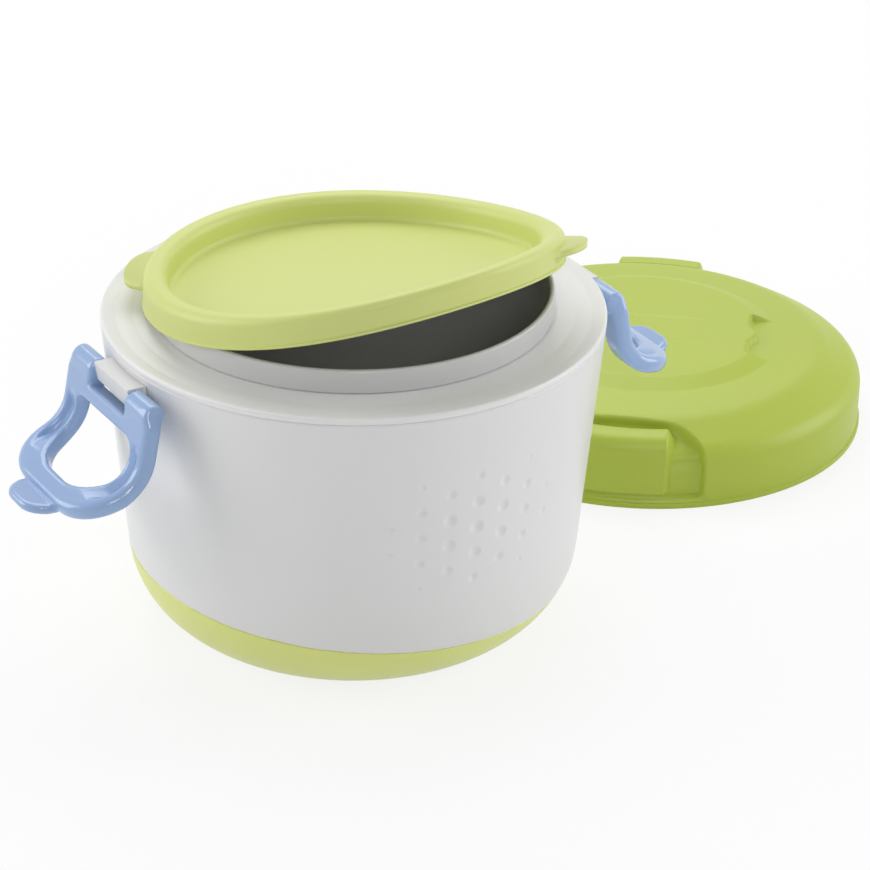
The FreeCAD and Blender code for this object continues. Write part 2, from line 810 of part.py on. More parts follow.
def lid_gasket():
    """Soft ring under the plate's flat rim."""
    outer = plate_outer
    top = plate_bottom - gasket_gap
    return lathe([
        (outer - gasket_width, top - gasket_height, gasket_width / 4),
        (outer, top - gasket_height, gasket_width / 4),
        (outer, top, 0),
        (outer - gasket_width, top, 0),
    ])


def on_floor(shape):
    """Outer-lid piece placed where the lid lies."""
    bearing = math.radians(lid_bearing_deg)
    return moved(turned(shape, lid_turn_deg), lid_distance * math.cos(bearing), lid_distance * math.sin(bearing), 0)


def build():
    """Write every piece."""
    save("outer_shell", outer_shell())
    save("base_cup", base_cup())
    save("foot_pad", foot_pad())
    save("collar_ring", collar_ring())
    save("well_liner", well_liner())
    save("insulation_wall", insulation_wall())
    save("insulation_floor", insulation_floor())
    lug = hinge_lug()
    save("lug_right", lug)
    save("lug_left", turned(lug, 180))
    loop = latch()
    save("latch_right", loop)
    save("latch_left", turned(loop, 180))
    save("food_bowl", food_bowl())
    save("inner_lid", inner_lid())
    save("outer_lid_shell", on_floor(lid_shell()))
    save("outer_lid_plate", on_floor(lid_plate()))
    save("outer_lid_foam", on_floor(lid_foam()))
    save("outer_lid_gasket", on_floor(lid_gasket()))


build()
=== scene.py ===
"""Looks of an insulated food jar: smooth moulded surfaces, satin plastics and a pale studio.

Each visible moulding is worked out with numpy: turned profiles whose height or radius also depends
on the angle, and latches as the skin of a distance field. Sizes are millimetres and degrees, and
meshes, lights and shader lengths are metres.
"""

import logging
import math
from dataclasses import dataclass, field
from enum import Enum
from typing import Dict, List, Sequence, Tuple, Union

import bmesh
import bpy
import numpy as np
from mathutils import Matrix, Vector

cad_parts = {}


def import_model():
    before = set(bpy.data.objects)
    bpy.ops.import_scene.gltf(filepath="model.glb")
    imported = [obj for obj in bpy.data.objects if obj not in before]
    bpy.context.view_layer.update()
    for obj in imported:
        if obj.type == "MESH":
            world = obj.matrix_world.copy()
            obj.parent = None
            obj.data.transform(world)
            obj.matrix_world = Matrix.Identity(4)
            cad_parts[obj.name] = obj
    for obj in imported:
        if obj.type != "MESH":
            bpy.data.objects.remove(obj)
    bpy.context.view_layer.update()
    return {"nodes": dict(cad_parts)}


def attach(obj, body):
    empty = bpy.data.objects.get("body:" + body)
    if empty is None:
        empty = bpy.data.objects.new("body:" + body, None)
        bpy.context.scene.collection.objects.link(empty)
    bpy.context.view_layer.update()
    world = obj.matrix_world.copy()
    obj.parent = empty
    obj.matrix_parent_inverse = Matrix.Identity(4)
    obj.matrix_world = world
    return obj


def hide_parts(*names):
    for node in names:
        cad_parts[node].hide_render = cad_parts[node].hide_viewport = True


LOG = logging.getLogger("food_jar")
MM = 0.001
JOIN = 1e-7
WHITE = (1.0, 1.0, 1.0, 1.0)
Pair = Tuple[float, float]
Triple = Tuple[float, float, float]


class Side(Enum):
    """The jar's side that a latch hangs on; the value is the sign of its X."""

    RIGHT = 1
    LEFT = -1


class Grain(Enum):
    """Surface grain of a moulding: the value is the noise scale per metre."""

    SATIN = 900.0
    FINE_MATT = 2600.0


# Finishes

@dataclass(frozen=True)
class Finish:
    """Look of one plastic.

    Args:
        name: Material name.
        colour: sRGB colour, 0 to 255.
        roughness: Middle roughness.
        sway: How far the roughness drifts up and down.
        mottle: Share by which the colour drifts.
        grain: Fine surface grain.
        bump: Strength of the grain's bump.
        coat: Weight of a clear coat.
        soft: Weight of light carried under the surface.
    """

    name: str
    colour: Triple
    roughness: float
    sway: float = 0.05
    mottle: float = 0.02
    grain: Grain = Grain.SATIN
    bump: float = 0.02
    coat: float = 0.0
    soft: float = 0.0


WHITE_BODY = Finish("white_body", (224, 224, 224), 0.36, bump=0.015, coat=0.05)
WHITE_COLLAR = Finish("white_collar", (231, 231, 231), 0.34, bump=0.012, coat=0.05)
WHITE_LUG = Finish("white_lug", (220, 220, 219), 0.38)
BOWL_GREY = Finish("bowl_grey", (202, 202, 202), 0.3, bump=0.01)
WELL_WHITE = Finish("well_plastic", (200, 200, 200), 0.5)
FOAM_WHITE = Finish("foam", (232, 232, 228), 0.85, grain=Grain.FINE_MATT, bump=0.2)
FOOT_RUBBER = Finish("foot_rubber", (120, 128, 98), 0.75, grain=Grain.FINE_MATT, bump=0.1)
GREEN_BASE = Finish("green_base", (220, 226, 134), 0.36)
GREEN_LID = Finish("green_lid", (171, 187, 64), 0.44, grain=Grain.FINE_MATT, bump=0.03)
LID_PLATE = Finish("lid_plate", (206, 210, 178), 0.5)
SEAL_RUBBER = Finish("seal_rubber", (228, 228, 222), 0.6)
SOFT_GREEN = Finish("soft_green", (206, 214, 128), 0.44, soft=0.08)
BLUE_LATCH = Finish("blue_latch", (147, 175, 217), 0.17, bump=0.01, coat=0.25)

DRIFT_SCALE = 22.0
DRIFT_DETAIL = 2.0
GRAIN_DETAIL = 3.0
GRAIN_HEIGHT = 0.0002
COAT_ROUGHNESS = 0.12
SOFT_RADIUS = (0.004, 0.004, 0.002)


def linear(colour: Triple) -> Tuple[float, float, float, float]:
    """Linear RGBA of an sRGB colour.

    Args:
        colour: sRGB channels, 0 to 255.
    Returns:
        The linear colour with full alpha.
    """
    channels = [c / 255.0 for c in colour]
    light = [c / 12.92 if c <= 0.04045 else ((c + 0.055) / 1.055) ** 2.4 for c in channels]
    return (light[0], light[1], light[2], 1.0)


class Shade:
    """A shader value that takes part in sums and products.

    Args:
        board: Board whose node tree holds the value.
        socket: Output socket that carries it.
    """

    def __init__(self, board: "Board", socket: bpy.types.NodeSocket) -> None:
        """Keeps the board and the socket."""
        self.board = board
        self.socket = socket

    def maths(self, operation: str, first: "Value", second: "Value") -> "Shade":
        """Result of a maths node between two values."""
        return self.board.node("ShaderNodeMath", 0, {0: first, 1: second}, operation=operation)

    def __add__(self, other: "Value") -> "Shade":
        """Sum."""
        return self.maths("ADD", self, other)

    def __radd__(self, other: "Value") -> "Shade":
        """Sum with the value on the right."""
        return self.maths("ADD", other, self)

    def __sub__(self, other: "Value") -> "Shade":
        """Difference."""
        return self.maths("SUBTRACT", self, other)

    def __rsub__(self, other: "Value") -> "Shade":
        """Difference with the value on the right."""
        return self.maths("SUBTRACT", other, self)

    def __mul__(self, other: "Value") -> "Shade":
        """Product."""
        return self.maths("MULTIPLY", self, other)

    def __rmul__(self, other: "Value") -> "Shade":
        """Product with the value on the right."""
        return self.maths("MULTIPLY", other, self)


Value = Union[Shade, float, Sequence[float]]


class Board:
    """Node tree, with one method for any node.

    Args:
        tree: Tree of a material or of the world.
    """

    def __init__(self, tree: bpy.types.NodeTree) -> None:
        """Keeps the tree."""
        self.tree = tree

    def find(self, kind: str) -> bpy.types.Node:
        """First node of a type."""
        return next(n for n in self.tree.nodes if n.type == kind)

    def seen(self) -> Shade:
        """1 for what is looked at, straight, in gloss or through something, and 0 for light.

        Returns:
            The value.
        """
        camera, gloss, through = (self.node("ShaderNodeLightPath", f"Is {kind} Ray", {})
                                  for kind in ("Camera", "Glossy", "Transmission"))
        return camera.maths("MINIMUM", camera + gloss + through, 1.0)

    def feed(self, socket: bpy.types.NodeSocket, value: Value) -> None:
        """Links a shade to a socket, or sets a constant on it.

        Args:
            socket: Input socket.
            value: What it gets.
        """
        if isinstance(value, Shade):
            self.tree.links.new(value.socket, socket)
        else:
            socket.default_value = value

    def node(self, kind: str, output: Union[int, str], inputs: Dict[Union[int, str], Value],
             **settings: object) -> Shade:
        """Any node, fed and read.

        Args:
            kind: Node type.
            output: Output socket to read.
            inputs: Values by input socket.
            settings: Properties of the node.
        Returns:
            The output as a shade.
        """
        made = self.tree.nodes.new(kind)
        for name, value in settings.items():
            setattr(made, name, value)
        for name, value in inputs.items():
            self.feed(made.inputs[name], value)
        return Shade(self, made.outputs[output])


def blank(name: str) -> bpy.types.Material:
    """New material with nodes.

    Args:
        name: Its name.
    Returns:
        The material.
    """
    material = bpy.data.materials.new(name)
    material.use_nodes = True
    return material


def plastic(finish: Finish) -> bpy.types.Material:
    """Procedural material of a finish: slow drift of colour and roughness, fine grain in the bump.

    Args:
        finish: What it looks like.
    Returns:
        The material.
    """
    material = blank(finish.name)
    board = Board(material.node_tree)
    place = board.node("ShaderNodeTexCoord", "Object", {})
    slow = board.node("ShaderNodeTexNoise", 0,
                      {"Vector": place, "Scale": DRIFT_SCALE, "Detail": DRIFT_DETAIL})
    fine = board.node("ShaderNodeTexNoise", 0,
                      {"Vector": place, "Scale": finish.grain.value, "Detail": GRAIN_DETAIL})
    base = linear(finish.colour)
    drift = (slow - 0.5) * (2.0 * finish.mottle) + 1.0
    colour = board.node("ShaderNodeVectorMath", 0, {0: base[:3], 3: drift}, operation="SCALE")
    bump = board.node("ShaderNodeBump", 0,
                      {"Strength": finish.bump, "Distance": GRAIN_HEIGHT, "Height": fine})
    looks: Dict[str, Value] = {
        "Base Color": colour,
        "Roughness": finish.roughness + (slow - 0.5) * (2.0 * finish.sway),
        "Normal": bump,
        "Coat Weight": finish.coat,
        "Coat Roughness": COAT_ROUGHNESS,
        "Subsurface Weight": finish.soft,
        "Subsurface Radius": SOFT_RADIUS,
    }
    surface = board.find("BSDF_PRINCIPLED")
    for name, value in looks.items():
        board.feed(surface.inputs[name], value)
    return material


# Meshes

def smooth(low: float, high: float, x: np.ndarray) -> np.ndarray:
    """Smooth step from 0 at low to 1 at high: t^2 (3 - 2 t)."""
    t = np.clip((np.asarray(x, float) - low) / (high - low), 0.0, 1.0)
    return t * t * (3.0 - 2.0 * t)


def rounded(corners: Sequence[Triple], closed: bool = False, steps: int = 7) -> np.ndarray:
    """Line through corners, each rounded by a tangent arc.

    The arc of radius q at a corner of half angle h starts q / tan(h) before it, about a centre that
    is q / sin(h) away along the bisector.

    Args:
        corners: (a, b, radius) of each corner.
        closed: Whether the last corner joins the first.
        steps: Points on each arc, less one.
    Returns:
        Points, one row each.
    """
    points: List[np.ndarray] = []
    count = len(corners)
    for i, (a, b, radius) in enumerate(corners):
        here = np.array([a, b], float)
        if radius == 0 or (not closed and i in (0, count - 1)):
            points.append(here)
            continue
        before = np.array(corners[i - 1][:2], float) - here
        after = np.array(corners[(i + 1) % count][:2], float) - here
        before /= np.linalg.norm(before)
        after /= np.linalg.norm(after)
        half = math.acos(float(np.clip(before @ after, -1.0, 1.0))) / 2.0
        middle = (before + after) / np.linalg.norm(before + after)
        centre = here + middle * radius / math.sin(half)
        first = here + before * radius / math.tan(half) - centre
        last = here + after * radius / math.tan(half) - centre
        turn = math.atan2(first[0] * last[1] - first[1] * last[0], float(first @ last))
        for k in range(steps + 1):
            t = turn * k / steps
            spin = np.array([[math.cos(t), -math.sin(t)], [math.sin(t), math.cos(t)]])
            points.append(centre + spin @ first)
    return np.array(points)


def dense(line: np.ndarray, step: float) -> np.ndarray:
    """Line with extra points so that no span is longer than step.

    Args:
        line: Points, one row each.
        step: Longest span.
    Returns:
        The denser line.
    """
    out = [line[0]]
    for start, end in zip(line[:-1], line[1:]):
        pieces = max(1, int(math.ceil(float(np.linalg.norm(end - start)) / step)))
        out.extend(start + (end - start) * k / pieces for k in range(1, pieces + 1))
    return np.array(out)


def lengths(line: np.ndarray) -> np.ndarray:
    """Distance of each point along a line, from its first."""
    return np.concatenate([[0.0], np.cumsum(np.linalg.norm(np.diff(line, axis=0), axis=1))])


def angle_off(angle: np.ndarray, middle_deg: float) -> np.ndarray:
    """Angle from a direction, kept within half a turn to each side."""
    return np.mod(angle - math.radians(middle_deg) + math.pi, 2 * math.pi) - math.pi


def past_corner(a: np.ndarray, b: np.ndarray) -> np.ndarray:
    """Distance past a square corner: |max((a, b), 0)| + min(max(a, b), 0)."""
    return np.hypot(np.clip(a, 0, None), np.clip(b, 0, None)) + np.minimum(np.maximum(a, b), 0)


def grid_object(name: str, points: np.ndarray, wrap: bool = True) -> bpy.types.Object:
    """Smooth mesh from a grid of points, closed round its second index.

    Args:
        name: Object name.
        points: Array (rows, columns, 3) in millimetres.
        wrap: Whether the first index is closed too.
    Returns:
        The object, linked to the scene.
    """
    rows, columns = points.shape[:2]
    index = np.arange(rows * columns).reshape(rows, columns)
    if wrap:
        index = np.vstack([index, index[:1]])
    index = np.hstack([index, index[:, :1]])
    faces = np.stack([index[:-1, :-1], index[:-1, 1:], index[1:, 1:], index[1:, :-1]], -1)
    return mesh_object(name, points.reshape(-1, 3), faces.reshape(-1, 4))


def mesh_object(name: str, points: np.ndarray, faces: np.ndarray) -> bpy.types.Object:
    """Smooth mesh from points and four-sided faces; joining points in one place closes its poles.

    Args:
        name: Object name.
        points: Array (n, 3) in millimetres.
        faces: Array (m, 4) of point numbers.
    Returns:
        The object, linked to the scene.
    """
    mesh = bpy.data.meshes.new(name)
    mesh.vertices.add(len(points))
    mesh.vertices.foreach_set("co", (points * MM).astype(np.float32).ravel())
    mesh.loops.add(faces.size)
    mesh.loops.foreach_set("vertex_index", faces.astype(np.int32).ravel())
    mesh.polygons.add(len(faces))
    mesh.polygons.foreach_set("loop_start", np.arange(0, faces.size, 4, dtype=np.int32))
    mesh.polygons.foreach_set("use_smooth", np.ones(len(faces), bool))
    mesh.update(calc_edges=True)
    shape = bmesh.new()
    shape.from_mesh(mesh)
    bmesh.ops.remove_doubles(shape, verts=shape.verts, dist=JOIN)
    loose = [edge for edge in shape.edges if not edge.link_faces]
    bmesh.ops.delete(shape, geom=loose, context="EDGES")
    shape.to_mesh(mesh)
    shape.free()
    made = bpy.data.objects.new(name, mesh)
    bpy.context.scene.collection.objects.link(made)
    return made


def turned(line: np.ndarray, angles: np.ndarray) -> np.ndarray:
    """Surface of revolution (r cos a, r sin a, z), from profile points (r, z) and angles a."""
    r = line[:, 0][:, None]
    return np.stack([r * np.cos(angles), r * np.sin(angles),
                     np.broadcast_to(line[:, 1][:, None], (len(line), len(angles)))], -1)


def fan_angles(fine: Sequence[Pair], fine_deg: float, coarse_deg: float) -> np.ndarray:
    """Angles round the circle, closer together in some sectors.

    Args:
        fine: Sectors (from, to) in degrees that are close.
        fine_deg: Step in them.
        coarse_deg: Step elsewhere.
    Returns:
        Angles in radians, from 0 up to a full turn.
    """
    angles: List[float] = [0.0]
    while angles[-1] < 360.0:
        here = angles[-1]
        close = any((here - low) % 360.0 < high - low for low, high in fine)
        angles.append(here + (fine_deg if close else coarse_deg))
    return np.radians(np.array(angles[:-1]) * 360.0 / angles[-1])


def dress(made: bpy.types.Object, finish: Finish, body: str, *nodes: str) -> bpy.types.Object:
    """Gives a piece its material and body, and hides the CAD nodes it stands for.

    Args:
        made: The piece.
        finish: Its finish.
        body: Body it rides on.
        nodes: Nodes it replaces.
    Returns:
        The piece.
    """
    made.data.materials.clear()
    made.data.materials.append(plastic(finish))
    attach(made, body)
    if nodes:
        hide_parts(*nodes)
    LOG.info("%s: %d faces", made.name, len(made.data.polygons))
    return made


# Jar

@dataclass
class Dimples:
    """Slanted lattice of round dimples whose size falls off from its middle."""

    columns: int = 7
    rows: int = 7
    azimuth: float = -90.3
    height: float = 60.6
    column_deg: float = 7.0
    column_drop: float = 4.2
    row_drop: float = 8.6
    radius: float = 2.3
    depth: float = 0.85
    row_share: float = 1.2
    slant_share: float = 1.2
    reach_share: float = 7.9
    shrink_share: float = 0.6
    hollow_power: float = 1.2

    def press(self, angle: np.ndarray, radius: np.ndarray, z: np.ndarray) -> np.ndarray:
        """How deep the dimples press the wall: depth (1 - d^2 / radius^2)^hollow_power, for lattice
        cells (i, j) with i^2 + row_share j^2 + slant_share i j below reach_share.

        Args:
            angle: Angle of each point.
            radius: Its radius.
            z: Its height.
        Returns:
            Depth at each point.
        """
        pressed = np.zeros_like(z)
        for row in range(self.rows):
            for column in range(self.columns):
                i = column - (self.columns - 1) / 2
                j = row - (self.rows - 1) / 2
                spread = i * i + self.row_share * j * j + self.slant_share * i * j
                spread /= self.reach_share
                if spread > 1:
                    continue
                share = 1 - self.shrink_share * spread
                along = angle_off(angle, self.azimuth + i * self.column_deg) * radius
                up = z - (self.height - i * self.column_drop - j * self.row_drop)
                near = 1 - (along ** 2 + up ** 2) / (self.radius * share) ** 2
                hollow = self.depth * share * np.clip(near, 0, 1) ** self.hollow_power
                pressed = np.maximum(pressed, hollow)
        return pressed


@dataclass
class JarBody:
    """Tapered body: a white shell over a green base cup that meets it along a slanted plane."""

    rim_radius: float = 75.0
    shell_top: float = 99.2
    wall: float = 2.2
    taper_deg: float = 5.0
    bottom: float = 0.6
    corner: float = 28.0
    parting_height: float = 21.5
    parting_tilt: float = 4.8
    parting_azimuth: float = -28.0
    edge: float = 0.45
    pad_radius: float = 36.17
    pad_height: float = 1.6
    corner_steps: int = 60
    curve_step: float = 0.3
    fine_sector: Pair = (-122.0, -58.0)
    fine_deg: float = 0.36
    coarse_deg: float = 2.0
    base_deg: float = 1.5
    shell_rows: int = 190
    base_rows: int = 110
    shell_stride: int = 8
    base_stride: int = 12
    top_lip: Tuple[Pair, ...] = ((0.12, 0.25), (0.4, 0.45), (1.2, 0.45))
    joint_lip: Tuple[Pair, ...] = ((1.4, 0.4), (0.5, 0.4), (0.12, 0.25))
    tongue_lip: Pair = (2.6, 0.4)
    dimples: Dimples = field(default_factory=Dimples)

    def curve(self) -> Tuple[np.ndarray, np.ndarray]:
        """Outside of the body from the foot's edge to the top, with the length along it.

        Returns:
            Points (r, z), and the distance of each along the curve.
        """
        slope = math.tan(math.radians(self.taper_deg))
        foot = self.rim_radius - (self.shell_top - self.bottom) * slope
        line = rounded([(self.pad_radius, self.bottom, 0), (foot, self.bottom, self.corner),
                        (self.rim_radius, self.shell_top, 0)], steps=self.corner_steps)
        line = dense(line, self.curve_step)
        return line, lengths(line)

    def parting(self, angles: np.ndarray) -> np.ndarray:
        """Distance along the curve of the slanted joint at each angle: where the curve meets
        z = height - tan(tilt) r cos(a - azimuth).

        Args:
            angles: Angles in radians.
        Returns:
            Distances along the curve.
        """
        line, along = self.curve()
        tilt = math.tan(math.radians(self.parting_tilt))
        plane = self.parting_height - tilt * line[:, 0][:, None] * np.cos(
            angles - math.radians(self.parting_azimuth))
        above = line[:, 1][:, None] - plane
        first = np.argmax(above > 0, axis=0)
        return along[first]

    def strip(self, start: np.ndarray, end: np.ndarray, rows: int) -> np.ndarray:
        """Outside of the body between two distances along its curve.

        Args:
            start: Distance where each column starts.
            end: Distance where it ends.
            rows: Count of rows.
        Returns:
            Array (rows, columns, 2) of r and z.
        """
        line, along = self.curve()
        s = start + (end - start) * np.linspace(0, 1, rows)[:, None]
        return np.stack([np.interp(s, along, line[:, 0]), np.interp(s, along, line[:, 1])], -1)

    @staticmethod
    def edged(row: np.ndarray, offsets: Sequence[Pair], up: int) -> np.ndarray:
        """Rows of a rounded edge: a row moved in by each first offset, up or down by the second."""
        return np.stack([row + np.array([-inward, up * rise]) for inward, rise in offsets])

    def shell(self) -> bpy.types.Object:
        """White shell: outside with dimples, rounded edges, and its inside.

        Returns:
            The piece.
        """
        angles = fan_angles([self.fine_sector], self.fine_deg, self.coarse_deg)
        low = self.parting(angles) + self.edge
        top = np.full_like(low, self.curve()[1][-1]) - self.edge
        outer = self.strip(low, top, self.shell_rows)
        outer[..., 0] -= self.dimples.press(angles[None, :], outer[..., 0], outer[..., 1])
        inner = outer[::-1][::self.shell_stride] - np.array([self.wall, 0.0])
        rows = np.concatenate([outer, self.edged(outer[-1], self.top_lip, 1), inner,
                               self.edged(outer[0], self.joint_lip, -1)])
        return dress(self.spin("shell_skin", rows, angles), WHITE_BODY, "jar", "outer_shell")

    def base(self) -> bpy.types.Object:
        """Green base cup: outside down to the foot, the pad's pocket and its inside floor.

        Returns:
            The piece.
        """
        angles = np.radians(np.arange(0, 360, self.base_deg))
        high = self.parting(angles) - self.edge
        outer = self.strip(high, np.zeros_like(high), self.base_rows)
        lip = self.edged(outer[0], (self.tongue_lip, *self.joint_lip), 1)
        under = [(self.pad_radius, self.pad_height), (0.0, self.pad_height),
                 (0.0, self.pad_height + self.wall), (self.pad_radius, self.pad_height + self.wall)]
        pocket = np.stack([np.broadcast_to(np.array(p, float), (len(angles), 2)) for p in under])
        inner = outer[::-1][::self.base_stride] + np.array([-self.wall, self.wall])
        rows = np.concatenate([lip, outer, pocket, inner])
        return dress(self.spin("base_skin", rows, angles), GREEN_BASE, "jar", "base_cup")

    @staticmethod
    def spin(name: str, rows: np.ndarray, angles: np.ndarray) -> bpy.types.Object:
        """Mesh from rows (rows, columns, 2) of r and z that also depend on the angle."""
        r, z = rows[..., 0], rows[..., 1]
        return grid_object(name, np.stack([r * np.cos(angles), r * np.sin(angles), z], -1))


@dataclass
class Collar:
    """Dished ring on top of the body."""

    outer: float = 75.0
    inner: float = 58.8
    top: float = 101.2
    bottom: float = 99.2
    under: float = 98.4
    dish: float = 0.7
    shelf: float = 8.0
    seam: float = 0.05
    seam_round: float = 0.35
    lip_round: float = 0.75
    lip_width: float = 4.5
    dish_round: float = 6.0
    slope_width: float = 6.5
    brow_width: float = 1.5
    brow_round: float = 2.0
    mouth_round: float = 0.3
    step: float = 2.0
    step_deg: float = 1.5

    def build(self) -> bpy.types.Object:
        """Turned ring with a soft outer lip and a shallow dish.

        Returns:
            The piece.
        """
        line = rounded([
            (self.inner, self.under, 0.0),
            (self.outer - self.shelf, self.under, 0.0),
            (self.outer - self.shelf, self.bottom + self.seam, 0.0),
            (self.outer, self.bottom + self.seam, self.seam_round),
            (self.outer, self.top, self.lip_round),
            (self.outer - self.lip_width, self.top - self.dish, self.dish_round),
            (self.inner + self.slope_width, self.top - self.dish, self.dish_round),
            (self.inner + self.brow_width, self.top, self.brow_round),
            (self.inner, self.top, self.mouth_round),
        ], closed=True)
        line = dense(np.vstack([line, line[:1]]), self.step)[:-1]
        points = turned(line, np.radians(np.arange(0, 360, self.step_deg)))
        return dress(grid_object("collar_skin", points), WHITE_COLLAR, "jar", "collar_ring")


@dataclass
class Bowl:
    """Lift-out bowl with a straight rim above the collar."""

    rim_top: float = 108.4
    rim_radius: float = 59.4
    wall: float = 1.7
    neck: float = 58.2
    ledge: float = 101.3
    foot: float = 51.0
    bottom: float = 17.0
    corner: float = 18.0
    corner_steps: int = 10
    ledge_round: float = 0.3
    lip_round: float = 0.8
    throat: float = 3.0
    step: float = 4.0
    step_deg: float = 1.5

    def build(self) -> bpy.types.Object:
        """Turned bowl: outside, rounded rim and inside.

        Returns:
            The piece.
        """
        inner = self.rim_radius - self.wall
        line = rounded([
            (0.0, self.bottom, 0.0),
            (self.foot, self.bottom, self.corner),
            (self.neck, self.ledge, 0.0),
            (self.rim_radius, self.ledge, self.ledge_round),
            (self.rim_radius, self.rim_top, self.lip_round),
            (inner, self.rim_top, self.lip_round),
            (inner, self.ledge - self.throat, self.throat),
            (self.foot - self.wall, self.bottom + self.wall, self.corner - self.wall),
            (0.0, self.bottom + self.wall, 0.0),
        ], steps=self.corner_steps)
        points = turned(dense(line, self.step), np.radians(np.arange(0, 360, self.step_deg)))
        return dress(grid_object("bowl_skin", points, wrap=False), BOWL_GREY, "bowl", "food_bowl")


@dataclass
class SoftLid:
    """Soft inner lid, seated at one side of the bowl and peeled up towards the other."""

    skirt_outer: float = 62.0
    skirt_wall: float = 1.5
    plug_outer: float = 56.4
    plug_wall: float = 1.5
    skirt_depth: float = 6.4
    plug_depth: float = 6.6
    bead: float = 3.4
    panel: float = 1.8
    lip: float = 0.45
    tab_width: float = 26.0
    tab_reach: float = 6.5
    tab_wall: float = 1.8
    tab_rise: float = 4.0
    tab_azimuth: float = -38.0
    peel: float = 26.0
    power: float = 2.5
    peel_azimuth: float = 279.0
    shift: float = 0.5
    shift_azimuth: float = 77.0
    seat: float = 108.8
    plug_round: float = 1.0
    root_round: float = 0.4
    edge_round: float = 0.3
    lip_height: float = 0.8
    lip_slope: float = 0.3
    lip_round: float = 0.2
    bead_round: float = 3.2
    panel_round: float = 1.6
    tab_margin: float = 0.3
    tab_sector: float = 10.0
    tab_power: float = 2.6
    step: float = 3.0
    fine_deg: float = 0.4
    coarse_deg: float = 1.5

    def lift(self, x: np.ndarray, y: np.ndarray) -> np.ndarray:
        """Height added by the peel: peel ((d + R) / 2R)^power, with d the distance along the peel.

        Args:
            x: X of each point.
            y: Y of each point.
        Returns:
            Added height.
        """
        a = math.radians(self.peel_azimuth)
        span = self.skirt_outer + self.tab_reach
        along = x * math.cos(a) + y * math.sin(a)
        return self.peel * np.clip((along + span) / (2 * span), 0, None) ** self.power

    def build(self) -> bpy.types.Object:
        """Turned section with two grip tabs, lifted by the peel.

        Returns:
            The piece.
        """
        skirt_in = self.skirt_outer - self.skirt_wall
        plug_in = self.plug_outer - self.plug_wall
        panel_top = self.panel - self.plug_depth
        lip_low = -self.skirt_depth
        lip_out = self.skirt_outer + self.lip
        tab_low = self.tab_rise - self.skirt_depth
        tab_top = tab_low + self.tab_wall
        line = dense(rounded([
            (0.0, -self.plug_depth, 0.0),
            (self.plug_outer, -self.plug_depth, self.plug_round),
            (self.plug_outer, 0.0, self.root_round),
            (skirt_in, 0.0, self.root_round),
            (skirt_in, lip_low, self.edge_round),
            (lip_out, lip_low, self.edge_round),
            (lip_out, lip_low + self.lip_height, self.edge_round),
            (self.skirt_outer, lip_low + self.lip_height + self.lip_slope, self.lip_round),
            (self.skirt_outer, tab_low - self.tab_margin, 0.0),
            (self.skirt_outer, tab_low, 0.0),
            (self.skirt_outer, tab_top, 0.0),
            (self.skirt_outer, tab_top + self.tab_margin, 0.0),
            (self.skirt_outer, self.bead, self.bead_round),
            (plug_in, self.bead, self.bead_round),
            (plug_in, panel_top, self.panel_round),
            (0.0, panel_top, 0.0),
        ]), self.step)
        tabs = (self.tab_azimuth, self.tab_azimuth + 180.0)
        angles = fan_angles([(a - self.tab_sector, a + self.tab_sector) for a in tabs],
                            self.fine_deg, self.coarse_deg)
        points = turned(line, angles)
        reach = np.zeros_like(angles)
        for middle in tabs:
            side = np.abs(angle_off(angles, middle)) * self.skirt_outer / (self.tab_width / 2)
            arch = np.sqrt(np.clip(1 - side ** self.tab_power, 0, 1))
            reach = np.maximum(reach, self.tab_reach * arch)
        off_tab = np.abs(line[:, 1] - (tab_low + tab_top) / 2)
        outer = ((line[:, 0] > self.skirt_outer - self.tab_margin)
                 & (off_tab < (self.tab_wall + self.tab_margin) / 2))
        scale = 1 + outer[:, None] * reach[None, :] / self.skirt_outer
        points[..., :2] *= scale[..., None]
        points[..., 2] += self.lift(points[..., 0], points[..., 1]) + self.seat
        a = math.radians(self.shift_azimuth)
        points[..., :2] += self.shift * np.array([math.cos(a), math.sin(a)])
        made = grid_object("soft_lid_skin", points, wrap=False)
        return dress(made, SOFT_GREEN, "soft_lid", "inner_lid")


